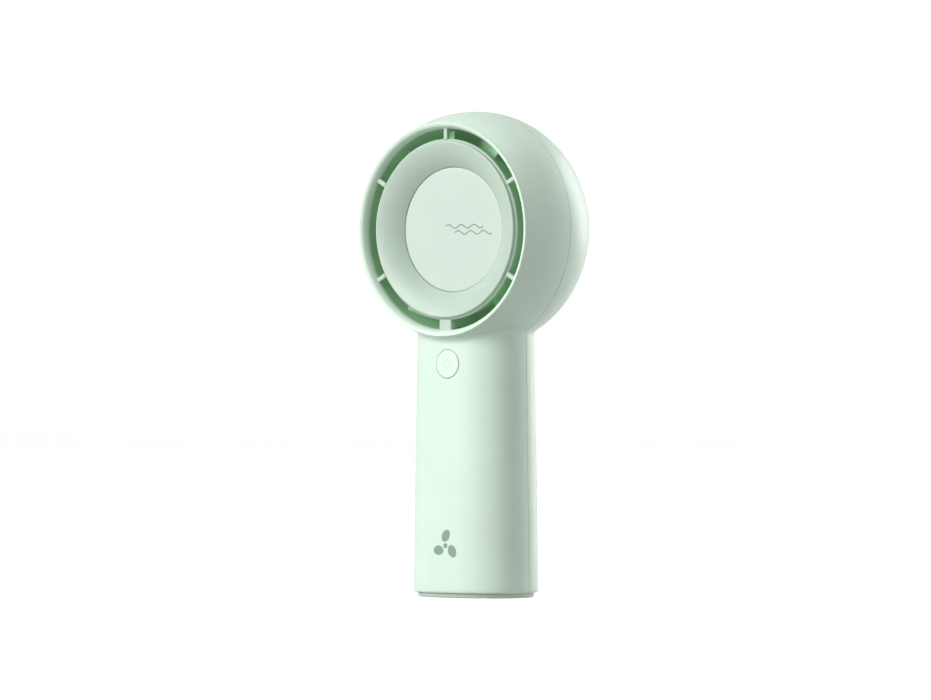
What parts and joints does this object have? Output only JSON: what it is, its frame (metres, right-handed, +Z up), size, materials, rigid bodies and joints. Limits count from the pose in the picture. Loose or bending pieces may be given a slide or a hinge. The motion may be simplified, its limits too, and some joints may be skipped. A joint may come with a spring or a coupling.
{
  "type": "handheld electric fan",
  "caption": "Round turbo head with an annular air outlet around a dished centre, on a tapered oval handle that stands on a flat foot and has a round power button.",
  "frame": {"origin": "centre of the foot's flat underside, under the handle's axis", "axes": "+Z up along the handle to the top of the head; -Y is the side that the air leaves, +Y the intake; +X to the right when looking along +Y"},
  "size_m": [0.0732, 0.0488, 0.15],
  "materials": {
    "shell_plastic": "satin",
    "disc_plastic": "satin",
    "button_plastic": "satin",
    "duct_plastic": "satin",
    "rotor_plastic": "satin",
    "foot_plastic": "matte",
    "print_ink": "satin",
    "steel": "satin",
    "motor_steel": "satin",
    "magnet": "satin",
    "copper": "satin",
    "circuit_board": "satin",
    "black_plastic": "matte",
    "white_plastic": "matte",
    "cell_wrap": "satin",
    "nickel": "satin",
    "wire_insulation": "matte",
    "wire_red": "matte",
    "led_lens": "gloss"
  },
  "bodies": {
    "housing": {"air_duct": "duct_plastic", "base_foot": "foot_plastic", "battery_cell": "cell_wrap", "battery_cradle_left": "white_plastic", "battery_cradle_right": "white_plastic", "battery_lead_minus": "wire_insulation", "battery_lead_plus": "wire_red", "battery_tab_bottom": "nickel", "battery_tab_top": "nickel", "center_disc": "disc_plastic", "charge_chip": "black_plastic", "charge_lead": "wire_red", "charge_pcb": "circuit_board", "driver_chip": "black_plastic", "duct_screw_1": "steel", "duct_screw_2": "steel", "duct_screw_3": "steel", "foot_screw_1": "steel", "foot_screw_2": "steel", "foot_screw_3": "steel", "foot_screw_4": "steel", "front_bearing_outer_race": "steel", "front_grille": "shell_plastic", "front_shell": "shell_plastic", "guide_vane_ring": "duct_plastic", "intake_grille": "shell_plastic", "main_pcb": "circuit_board", "motor_base": "steel", "motor_cable": "wire_insulation", "motor_pcb": "circuit_board", "motor_screw_1": "steel", "motor_screw_2": "steel", "motor_screw_3": "steel", "pcb_screw_1": "steel", "pcb_screw_2": "steel", "rear_bearing_outer_race": "steel", "rear_shell": "shell_plastic", "stator_coil_1": "copper", "stator_coil_2": "copper", "stator_coil_3": "copper", "stator_coil_4": "copper", "stator_coil_5": "copper", "stator_coil_6": "copper", "stator_core": "motor_steel", "status_led_left": "led_lens", "status_led_right": "led_lens", "switch_body": "steel", "usb_socket_shell": "steel", "usb_socket_tongue": "black_plastic"},
    "rotor": {"impeller": "rotor_plastic", "rotor_cup": "motor_steel", "magnet_ring": "magnet", "motor_shaft": "steel", "front_bearing_inner_race": "steel", "rear_bearing_inner_race": "steel"},
    "button": {"power_button": "button_plastic", "switch_plunger": "black_plastic"}
  },
  "joints": [
    {"name": "rotor_spin", "type": "hinge", "parent": "housing", "child": "rotor", "pos_m": [0, 0.01, 0.1134], "axis": [0, 1, 0], "continuous": true},
    {"name": "button_press", "type": "slide", "parent": "housing", "child": "button", "axis": [0, 1, 0], "range_m": [0, 0.0004], "stiffness_N_per_m": 600}
  ]
}
